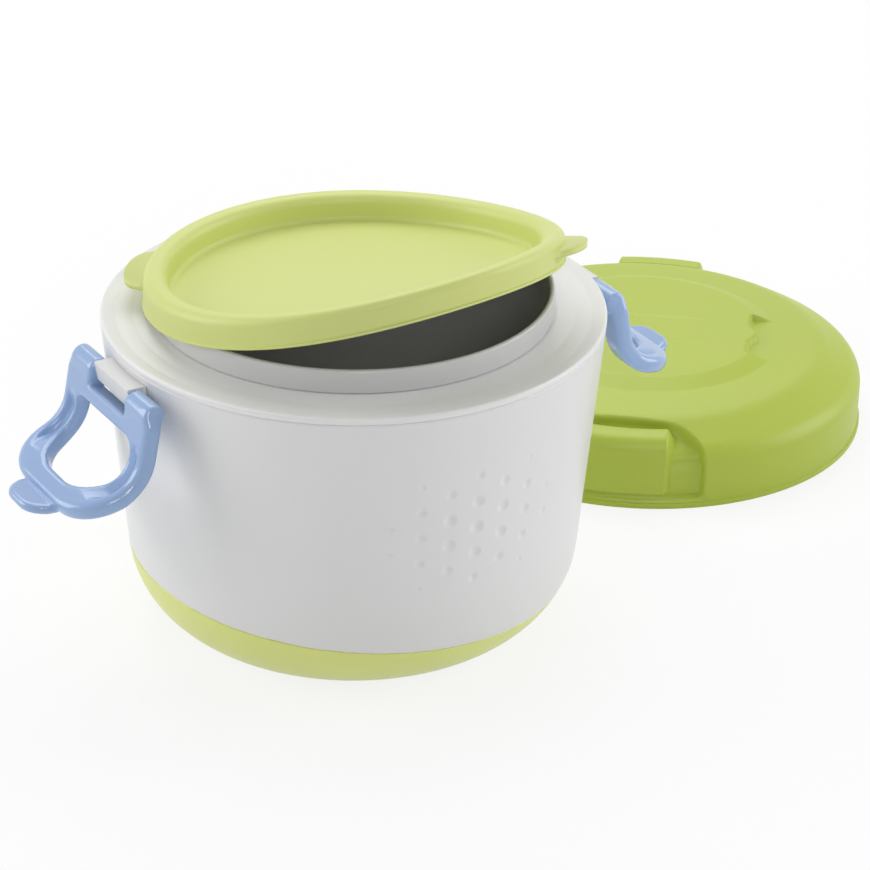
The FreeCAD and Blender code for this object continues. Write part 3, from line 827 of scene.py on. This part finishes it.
@dataclass
class OuterLid:
    """Domed outer lid: raised disc with a thumb notch, lip, and two latch recesses with bosses."""

    x: float = 153.6
    y: float = 67.4
    turn: float = 50.5
    radius: float = 75.2
    lip: float = 0.6
    lip_height: float = 1.8
    wall: float = 2.2
    side_height: float = 19.0
    shoulder_radius: float = 61.0
    shoulder_height: float = 27.0
    crown_radius: float = 45.5
    crown_height: float = 28.4
    disc_radius: float = 40.0
    disc_height: float = 31.0
    recess_half: float = 29.0
    recess_start: float = 62.5
    recess_round: float = 16.0
    recess_depth: float = 3.2
    boss_half: float = 16.0
    boss_inner: float = 65.4
    boss_height: float = 25.0
    notch_half: float = 15.0
    notch_in: float = 36.3
    notch_drop: float = 2.6
    plaque: Pair = (21.0, 8.5)
    plaque_depth: float = 0.35
    disc_round: float = 3.0
    crown_foot: float = 1.0
    crown_round: float = 4.0
    shoulder_round: float = 14.0
    side_round: float = 8.0
    lip_round: float = 0.3
    lip_slope: float = 0.1
    recess_soft: float = 0.9
    recess_margin: float = 6.0
    fade_ends: Pair = (0.6, 3.0)
    boss_soft: float = 1.8
    boss_foot: float = 4.0
    boss_round: float = 1.6
    boss_slope: float = 0.3
    boss_edge: float = 5.0
    cusp_reach: float = 3.2
    cusp_half: float = 6.5
    notch_soft: float = 0.6
    notch_margin: float = 4.0
    press_soft: float = 0.4
    lining: Tuple[Pair, ...] = ((58.0, 22.0), (0.0, 24.0))
    lining_height: float = 15.0
    lining_start: float = 0.3
    corner_steps: int = 12
    step: float = 0.9
    lining_step: float = 12.0
    boss_step: float = 0.4
    fine_sectors: Tuple[Pair, ...] = ((-27.0, 27.0), (153.0, 207.0), (246.0, 294.0))
    fine_deg: float = 0.42
    coarse_deg: float = 1.6

    def profile(self) -> np.ndarray:
        """Outside from the middle of the disc to the lip.

        Returns:
            Points (r, z).
        """
        line = rounded([
            (0.0, self.disc_height, 0.0),
            (self.disc_radius, self.disc_height, self.disc_round),
            (self.crown_radius + self.crown_foot, self.crown_height, self.crown_round),
            (self.shoulder_radius, self.shoulder_height, self.shoulder_round),
            (self.radius, self.side_height, self.side_round),
            (self.radius, self.lip_height + self.lip_slope, self.lip_round),
            (self.radius + self.lip, self.lip_height, self.lip_round),
            (self.radius + self.lip, 0.0, self.lip_round),
            (self.radius - self.wall, 0.0, 0.0),
        ], steps=self.corner_steps)
        return dense(line, self.step)

    def recess(self, x: np.ndarray, y: np.ndarray) -> np.ndarray:
        """Share of the recess's depth: 1 inside a rounded arch open outward, 0 outside it.

        Args:
            x: Distance out along the latch axis.
            y: Distance across it.
        Returns:
            The share, soft over the edge.
        """
        q = self.recess_round
        across = np.abs(y) - (self.recess_half - q)
        out = (self.recess_start + q) - x
        return smooth(self.recess_soft, -self.recess_soft, past_corner(across, out) - q)

    def build(self) -> bpy.types.Object:
        """Turned skin with recesses pressed in along its normal, bosses over them, and the notch.

        Returns:
            The piece.
        """
        line = self.profile()
        angles = fan_angles(self.fine_sectors, self.fine_deg, self.coarse_deg)
        points = turned(line, angles)
        tangent = np.gradient(line, axis=0)
        normal = np.stack([-tangent[:, 1], tangent[:, 0]], -1)
        normal /= np.linalg.norm(normal, axis=1)[:, None]
        x, y = np.abs(points[..., 0]), points[..., 1]
        r = np.broadcast_to(line[:, 0][:, None], x.shape)
        z = points[..., 2].copy()
        lip_row = int(np.argmax(line[:, 1] <= self.lip_height + 2 * self.lip_slope))
        outside = np.arange(len(line)) <= lip_row
        fade = smooth(*(self.lip_height + rise for rise in self.fade_ends), z) * outside[:, None]
        deep = self.recess_depth * self.recess(x, y) * fade
        deep = deep * (r > self.recess_start - self.recess_margin)
        new_r = r - deep * normal[:, 0][:, None]
        new_z = z - deep * normal[:, 1][:, None]
        boss_r, boss_z, along = self.boss_path(line)
        cover = smooth(self.boss_half + self.boss_soft, self.boss_half - self.boss_soft, np.abs(y))
        cover = cover * along[:, None] * fade
        new_r = new_r + (boss_r[:, None] - new_r) * cover
        new_z = new_z + (boss_z[:, None] - new_z) * cover
        new_z = self.press_disc(points, r, new_z)
        points = np.stack([new_r * np.cos(angles), new_r * np.sin(angles), new_z], -1)
        wall = self.radius - self.wall
        inside = np.array([(wall, self.lining_start), (wall, self.lining_height), *self.lining])
        points = np.concatenate([points, turned(dense(inside, self.lining_step), angles)])
        a = math.radians(self.turn)
        spun = points.copy()
        spun[..., 0] = points[..., 0] * math.cos(a) - points[..., 1] * math.sin(a) + self.x
        spun[..., 1] = points[..., 0] * math.sin(a) + points[..., 1] * math.cos(a) + self.y
        made = grid_object("outer_lid_skin", spun, wrap=False)
        return dress(made, GREEN_LID, "outer_lid", "outer_lid_shell")

    def boss_path(self, line: np.ndarray) -> Tuple[np.ndarray, np.ndarray, np.ndarray]:
        """Where a boss lies for each point of the profile: a flat top, then the side wall.

        Args:
            line: The profile.
        Returns:
            Radius and height of the boss, and the share by which it counts, for each point.
        """
        low = self.lip_height + self.fade_ends[1]
        row = np.arange(len(line))
        start = int(np.argmax(line[:, 0] >= self.boss_inner))
        end = int(np.argmax((line[:, 1] < low) & (line[:, 0] > self.radius - self.lip)))
        path = dense(rounded([
            (self.boss_inner, self.boss_height - self.boss_foot, 0.0),
            (self.boss_inner, self.boss_height, self.boss_round),
            (self.radius - self.boss_slope, self.boss_height - self.boss_slope, self.boss_edge),
            (self.radius, low, 0.0),
        ]), self.boss_step)
        length = lengths(path)
        share = np.clip((row - start) / max(1, end - start), 0, 1)
        radius = np.interp(share * length[-1], length, path[:, 0])
        height = np.interp(share * length[-1], length, path[:, 1])
        return radius, height, ((row >= start) & (row <= end)).astype(float)

    def press_disc(self, points: np.ndarray, r: np.ndarray, z: np.ndarray) -> np.ndarray:
        """Heights with the thumb notch and the bare plaque pressed into the disc.

        The notch's inner wall lies at notch_in + cusp_reach (1 - |a| / cusp_half), with a cusp.

        Args:
            points: Undisturbed points.
            r: Radius of each point.
            z: Height of each point.
        Returns:
            The new heights.
        """
        across, out = points[..., 0], -points[..., 1]
        inner = self.notch_in + self.cusp_reach * np.clip(1 - np.abs(across) / self.cusp_half, 0, 1)
        notch = smooth(-self.notch_soft, self.notch_soft, out - inner)
        notch = notch * self.within(across, self.notch_half)
        notch = notch * (r < self.crown_radius + self.notch_margin)
        floor = np.minimum(z, self.disc_height - self.notch_drop)
        z = z + (floor - z) * notch
        long_way, short_way = self.plaque
        inside = self.within(out, long_way) * self.within(across, short_way)
        return z - self.plaque_depth * inside * (r < self.disc_radius)

    def within(self, place: np.ndarray, half: float) -> np.ndarray:
        """Share by which places lie within a half width of zero."""
        return smooth(half + self.press_soft, half - self.press_soft, np.abs(place))


def rounded_box(u: np.ndarray, v: np.ndarray, half: float, ends: Pair,
                rounds: Pair) -> np.ndarray:
    """Distance to a rectangle with rounded corners, below zero inside.

    Args:
        u: Place across the rectangle, which is centred on u = 0.
        v: Place along it.
        half: Half of its width.
        ends: Where it starts and ends along v.
        rounds: Corner radius at its start and at its end.
    Returns:
        The distance at each place.
    """
    middle = (ends[0] + ends[1]) / 2
    r = np.where(v < middle, rounds[0], rounds[1])
    across = np.abs(u) - half + r
    along = np.abs(v - middle) - (ends[1] - ends[0]) / 2 + r
    return past_corner(across, along) - r


def melted(first: np.ndarray, second: np.ndarray, soft: float) -> np.ndarray:
    """Lower of two distances with a soft join: with h = 1/2 + (b - a) / 2k kept to 0..1, it is
    b + (a - b) h - k h (1 - h).

    Args:
        first: One distance a.
        second: The other, b.
        soft: Width k of the join.
    Returns:
        The joined distance.
    """
    h = np.clip(0.5 + 0.5 * (second - first) / soft, 0, 1)
    return second + (first - second) * h - soft * h * (1 - h)


def carved(first: np.ndarray, second: np.ndarray, soft: float) -> np.ndarray:
    """First distance with the second's inside taken away, with a soft edge."""
    return -melted(-first, second, soft)


def skin_of(values: np.ndarray, corner: np.ndarray, step: float) -> Tuple[np.ndarray, np.ndarray]:
    """Surface where a field on a grid is zero: each cell that it crosses gets a point, the mean of
    the crossings on its edges, and each crossed grid edge gets the face between its four cells.

    Args:
        values: Field on the grid, below zero inside.
        corner: Place of the grid's first point.
        step: Spacing of the grid.
    Returns:
        Points and four-sided faces, facing outwards.
    """
    inside = values < 0
    size = np.array(values.shape) - 1
    total = np.zeros((*size, 3))
    count = np.zeros(size)
    for axis in range(3):
        for a, b in ((0, 0), (0, 1), (1, 0), (1, 1)):
            near = np.insert([a, b], axis, 0)
            far = np.insert([a, b], axis, 1)
            low, high = (values[tuple(slice(o, o + n) for o, n in zip(off, size))]
                         for off in (near, far))
            cross = (low < 0) != (high < 0)
            share = np.where(cross, low / np.where(cross, low - high, 1.0), 0.0)
            total += cross[..., None] * (near + share[..., None] * (far - near))
            count += cross
    used = count > 0
    number = np.full(size, -1)
    number[used] = np.arange(int(used.sum()))
    points = corner + step * (np.argwhere(used) + total[used] / count[used][:, None])
    faces = []
    for axis in range(3):
        order = (axis, (axis + 1) % 3, (axis + 2) % 3)
        cell, solid = number.transpose(order), inside.transpose(order)
        here, there = solid[:-1, 1:-1, 1:-1], solid[1:, 1:-1, 1:-1]
        quads = np.stack([cell[:, :-1, :-1], cell[:, 1:, :-1],
                          cell[:, 1:, 1:], cell[:, :-1, 1:]], -1)
        faces.append(quads[here & ~there])
        faces.append(quads[~here & there][:, ::-1])
    return points, np.concatenate(faces)


@dataclass
class Latch:
    """Blue latch: a bent plate with scooped sides, knuckles on a bar, finger hole and pull tab."""

    hinge_out: float = 77.8
    hinge_height: float = 93.8
    start: float = 0.6
    elbow: Pair = (4.6, 20.8)
    elbow_round: float = 14.4
    tip: Pair = (25.5, 28.3)
    half: float = 26.2
    brow: float = 1.6
    head: float = 3.1
    head_round: float = 6.0
    tip_round: float = 15.5
    thick: float = 2.75
    edge: float = 2.2
    window_half: float = 11.3
    window_drop: float = 4.9
    hole_half: float = 17.0
    hole_top: float = 10.0
    hole_rounds: Pair = (3.2, 13.0)
    end_band: float = 7.0
    scoop_rim: float = 3.3
    scoop_deep: float = 2.6
    scoop_ends: Tuple[float, float, float, float] = (9.0, 16.0, 27.0, 35.0)
    bar: float = 1.2
    bar_half: float = 23.0
    tab: Pair = (8.0, -0.7)
    tab_half: float = 10.0
    tab_thick: float = 1.5
    tab_drop: float = 1.2
    tab_round: float = 7.5
    step: float = 0.45
    spread: float = 60.0
    path_step: float = 0.5
    path_steps: int = 24
    window_round: float = 1.0
    window_soft: float = 1.2
    hole_soft: float = 1.8
    scoop_ramp: float = 1.2
    scoop_least_share: float = 0.15
    knuckle_round: float = 1.0
    knuckle_soft: float = 1.6
    bar_soft: float = 0.5
    tab_root: float = 1.0
    tab_edge: float = 1.6
    tab_soft: float = 0.8
    grid_low: Triple = (-6.0, -27.5, -37.5)
    grid_high: Triple = (36.0, 27.5, 6.5)
    ease_factor: float = 0.5
    ease_rounds: int = 4

    def path(self) -> Tuple[np.ndarray, np.ndarray]:
        """Middle line of the latch as it hangs, run on past both ends.

        Returns:
            Points (out, up) from the hinge, and the length along the line, zero at the hinge.
        """
        start = np.array([self.start, 0.0])
        elbow = np.array([self.elbow[0], -self.elbow[1]])
        tip = np.array([self.tip[0], -self.tip[1]])
        before = start + (start - elbow) / np.linalg.norm(start - elbow) * self.spread
        after = tip + (tip - elbow) / np.linalg.norm(tip - elbow) * self.spread
        bend = [(*before, 0.0), (*elbow, self.elbow_round), (*after, 0.0)]
        line = dense(rounded(bend, steps=self.path_steps), self.path_step)
        return line, lengths(line) - self.spread

    def unbent(self, out: np.ndarray, up: np.ndarray) -> Tuple[np.ndarray, np.ndarray]:
        """Places measured along and off the middle line, by its nearest point.

        Args:
            out: Distance out from the hinge.
            up: Height above it.
        Returns:
            Length along the line, and signed distance off it, outward.
        """
        line, length = self.path()
        places = np.stack([out.ravel(), up.ravel()], -1)
        tangent = np.gradient(line, axis=0)
        tangent /= np.linalg.norm(tangent, axis=1)[:, None]
        gap = places[:, None, :] - line[None, :, :]
        near = np.argmin((gap ** 2).sum(-1), axis=1)
        row = np.arange(len(places))
        along = length[near] + (gap[row, near] * tangent[near]).sum(-1)
        off = gap[row, near, 1] * tangent[near, 0] - gap[row, near, 0] * tangent[near, 1]
        return along.reshape(out.shape), off.reshape(out.shape)

    def tip_length(self) -> float:
        """Length along the middle line at the loop's end."""
        return float(self.unbent(np.array([self.tip[0]]), np.array([-self.tip[1]]))[0][0])

    def loop(self, y: np.ndarray, along: np.ndarray, off: np.ndarray) -> np.ndarray:
        """Distance to the plate with rounded edges and scooped sides, less window and finger hole.

        With d the distance in from the outer edge, a scoop's depth goes with
        smooth(rim, rim + ramp, d) (1 - (d - rim) / (side - rim)) between its two ends.

        Args:
            y: Place across the latch.
            along: Place along its middle line.
            off: Place off it.
        Returns:
            The distance at each place.
        """
        end = self.tip_length()
        outer = rounded_box(y, along, self.half, (-self.brow, end),
                            (self.head_round, self.tip_round))
        hole_ends = (self.hole_top, end - self.end_band)
        hole = rounded_box(y, along, self.hole_half, hole_ends, self.hole_rounds)
        window = rounded_box(y, along, self.window_half, (-self.spread, self.window_drop),
                             (self.window_round, self.window_round))
        a, b, c, d = self.scoop_ends
        slope = 1 - (-outer - self.scoop_rim) / (self.half - self.hole_half - self.scoop_rim)
        scoop = smooth(self.scoop_rim, self.scoop_rim + self.scoop_ramp, -outer)
        scoop = self.scoop_deep * scoop * np.clip(slope, self.scoop_least_share, 1)
        scoop = scoop * smooth(a, b, along) * smooth(d, c, along)
        slab = np.maximum(off - self.thick + scoop, -off - self.thick) + self.edge
        plate = past_corner(slab, outer + self.edge) - self.edge
        return carved(carved(plate, hole, self.hole_soft), window, self.window_soft)

    def field(self, out: np.ndarray, y: np.ndarray, up: np.ndarray) -> np.ndarray:
        """Distance to the whole latch: loop, knuckles, bar and pull tab.

        Args:
            out: Distance out from the hinge.
            y: Place along the hinge.
            up: Height above the hinge.
        Returns:
            The distance at each place.
        """
        along, off = self.unbent(out[:, 0, :], up[:, 0, :])
        along, off = (np.broadcast_to(v[:, None, :], out.shape) for v in (along, off))
        whole = self.loop(y, along, off)
        round_bar = np.hypot(out, up)
        inner, outer = self.window_half, self.half - self.edge
        side = np.abs(np.abs(y) - (inner + outer) / 2) - (outer - inner) / 2 + self.knuckle_round
        knuckle = past_corner(side, round_bar - self.head + self.knuckle_round) - self.knuckle_round
        whole = melted(whole, knuckle, self.knuckle_soft)
        rod = np.maximum(round_bar - self.bar, np.abs(y) - self.bar_half)
        whole = melted(whole, rod, self.bar_soft)
        reach = math.hypot(*self.tab)
        out, up = out - self.tip[0], up + self.tip[1]
        u = (out * self.tab[0] - up * self.tab[1]) / reach
        w = (up * self.tab[0] + out * self.tab[1]) / reach + self.tab_drop
        flat = rounded_box(y, u, self.tab_half, (-self.edge, reach),
                           (self.tab_root, self.tab_round))
        tab = carved(flat, self.tab_thick - np.abs(w), self.tab_edge)
        return melted(whole, tab, self.tab_soft)

    def build(self, side: Side) -> bpy.types.Object:
        """Skin of the field, eased.

        Args:
            side: Side of the jar.
        Returns:
            The piece.
        """
        low = np.array(self.grid_low)
        axes = [np.arange(a, b, self.step) for a, b in zip(low, self.grid_high)]
        points, faces = skin_of(self.field(*np.meshgrid(*axes, indexing="ij")), low, self.step)
        points = points + np.array([self.hinge_out, 0.0, self.hinge_height])
        points[:, :2] *= side.value
        name = side.name.lower()
        made = mesh_object(f"latch_{name}_skin", points, faces)
        self.ease(made)
        return dress(made, BLUE_LATCH, f"{name}_latch", f"latch_{name}")

    def ease(self, made: bpy.types.Object) -> None:
        """Smooths a skin a little and keeps the result as its mesh.

        Args:
            made: The object, whose mesh is replaced.
        """
        ease = made.modifiers.new("ease", "SMOOTH")
        ease.factor = self.ease_factor
        ease.iterations = self.ease_rounds
        bpy.context.view_layer.update()
        graph = bpy.context.evaluated_depsgraph_get()
        skin = bpy.data.meshes.new_from_object(made.evaluated_get(graph))
        made.modifiers.clear()
        made.data = skin


# Studio

@dataclass(frozen=True)
class Lamp:
    """One soft area light.

    Args:
        name: Object name.
        place: Where it stands, metres.
        aim: What it looks at, metres.
        size: Side of its square, metres.
        power: Watts.
    """

    name: str
    place: Triple
    aim: Triple
    size: float
    power: float


LAMPS = (
    Lamp("top", (0.0, 0.75, 1.25), (0.04, 0.0, 0.04), 1.2, 11.5),
    Lamp("left", (-1.3, 0.15, 0.55), (0.0, 0.0, 0.06), 0.9, 9.0),
    Lamp("right", (1.4, 0.1, 0.55), (0.0, 0.0, 0.06), 0.9, 9.0),
    Lamp("front", (0.1, -1.3, 0.72), (0.0, 0.0, 0.08), 0.4, 4.5),
)


@dataclass
class Studio:
    """Pale floor, soft lights and the camera."""

    turn: float = -28.0
    place: Triple = (-25.857, -855.906, 501.080)
    yaw: float = -0.05891
    elevation: float = 0.47761
    roll: float = 0.01625
    lens: float = 131.855
    ambient: float = 0.23
    sensor: float = 36.0
    clip: Pair = (0.01, 20.0)
    floor_glow: float = 0.82
    floor_half: float = 6000.0
    floor_shade: float = 0.94
    floor_rough: float = 0.9

    def spin(self, v: Sequence[float]) -> Vector:
        """Vector turned from the camera-aligned frame to the jar's."""
        return Matrix.Rotation(math.radians(self.turn), 3, "Z") @ Vector(v)

    def camera(self) -> bpy.types.Object:
        """Camera fitted to the photograph.

        Returns:
            The camera.
        """
        data = bpy.data.cameras.new("camera")
        data.sensor_width = self.sensor
        data.lens = self.lens
        data.clip_start, data.clip_end = self.clip
        e = self.elevation
        right = np.array([math.cos(self.yaw), math.sin(self.yaw), 0.0])
        ahead = np.array([-math.sin(self.yaw), math.cos(self.yaw), 0.0])
        above = np.array([0.0, 0.0, 1.0])
        up = math.sin(e) * ahead + math.cos(e) * above
        back = -math.cos(e) * ahead + math.sin(e) * above
        x = math.cos(self.roll) * right + math.sin(self.roll) * up
        y = -math.sin(self.roll) * right + math.cos(self.roll) * up
        axes = [self.spin(v) for v in (x, y, back)]
        made = bpy.data.objects.new("camera", data)
        stand = Matrix.Translation(self.spin(self.place) * MM)
        made.matrix_world = stand @ Matrix(axes).transposed().to_4x4()
        bpy.context.scene.collection.objects.link(made)
        bpy.context.scene.camera = made
        return made

    def light(self, lamp: Lamp) -> bpy.types.Object:
        """Area light placed in the camera-aligned frame.

        Args:
            lamp: What to place.
        Returns:
            The light.
        """
        data = bpy.data.lights.new(lamp.name, "AREA")
        data.energy = lamp.power
        data.size = lamp.size
        made = bpy.data.objects.new(lamp.name, data)
        place, aim = self.spin(lamp.place), self.spin(lamp.aim)
        made.location = place
        made.rotation_euler = (aim - place).to_track_quat("-Z", "Y").to_euler()
        bpy.context.scene.collection.objects.link(made)
        return made

    def floor(self) -> bpy.types.Object:
        """Pale floor that looks nearly white and keeps a soft shadow.

        Returns:
            The floor.
        """
        corners = np.array([(-1, -1, 0), (1, -1, 0), (1, 1, 0), (-1, 1, 0)], float)
        made = mesh_object("floor", corners * self.floor_half, np.array([[0, 1, 2, 3]]))
        material = blank("floor_paint")
        board = Board(material.node_tree)
        surface = board.find("BSDF_PRINCIPLED")
        board.feed(surface.inputs["Base Color"], (*[self.floor_shade] * 3, 1.0))
        board.feed(surface.inputs["Roughness"], self.floor_rough)
        board.feed(surface.inputs["Specular IOR Level"], 0.0)
        paint = Shade(board, surface.outputs[0])
        glow = board.node("ShaderNodeEmission", 0, {"Color": WHITE, "Strength": 1.0})
        mixed = board.node("ShaderNodeMixShader", 0,
                           {0: board.seen() * self.floor_glow, 1: paint, 2: glow})
        board.feed(board.find("OUTPUT_MATERIAL").inputs["Surface"], mixed)
        made.data.materials.append(material)
        return made

    def world(self) -> None:
        """Even soft surroundings that look white to the camera and in gloss."""
        world = bpy.data.worlds.new("studio")
        world.use_nodes = True
        board = Board(world.node_tree)
        back = board.find("BACKGROUND")
        board.feed(back.inputs["Color"], WHITE)
        board.feed(back.inputs["Strength"], board.seen() * (1.0 - self.ambient) + self.ambient)
        bpy.context.scene.world = world
        bpy.context.scene.view_settings.view_transform = "Standard"

    def build(self) -> None:
        """Sets the whole studio."""
        self.world()
        self.floor()
        self.camera()
        for lamp in LAMPS:
            self.light(lamp)


def dress_frame(nodes: Dict[str, bpy.types.Object]) -> None:
    """Materials of the CAD nodes that stay in view.

    Args:
        nodes: CAD nodes by name.
    """
    finishes = {
        "foot_pad": FOOT_RUBBER, "well_liner": WELL_WHITE, "insulation_wall": FOAM_WHITE,
        "insulation_floor": FOAM_WHITE, "lug_right": WHITE_LUG, "lug_left": WHITE_LUG,
        "outer_lid_plate": LID_PLATE, "outer_lid_foam": FOAM_WHITE, "outer_lid_gasket": SEAL_RUBBER,
    }
    made: Dict[str, bpy.types.Material] = {}
    for name, finish in finishes.items():
        if finish.name not in made:
            made[finish.name] = plastic(finish)
        for place in nodes[name].material_slots:
            place.material = made[finish.name]
        if not nodes[name].material_slots:
            nodes[name].data.materials.append(made[finish.name])


def main() -> None:
    """Builds the whole picture."""
    logging.basicConfig(level=logging.INFO, format="%(name)s %(message)s")
    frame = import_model()
    body = JarBody()
    body.shell()
    body.base()
    Collar().build()
    Bowl().build()
    SoftLid().build()
    OuterLid().build()
    for side in Side:
        Latch().build(side)
    dress_frame(frame["nodes"])
    Studio().build()


if __name__ == "__main__":
    main()
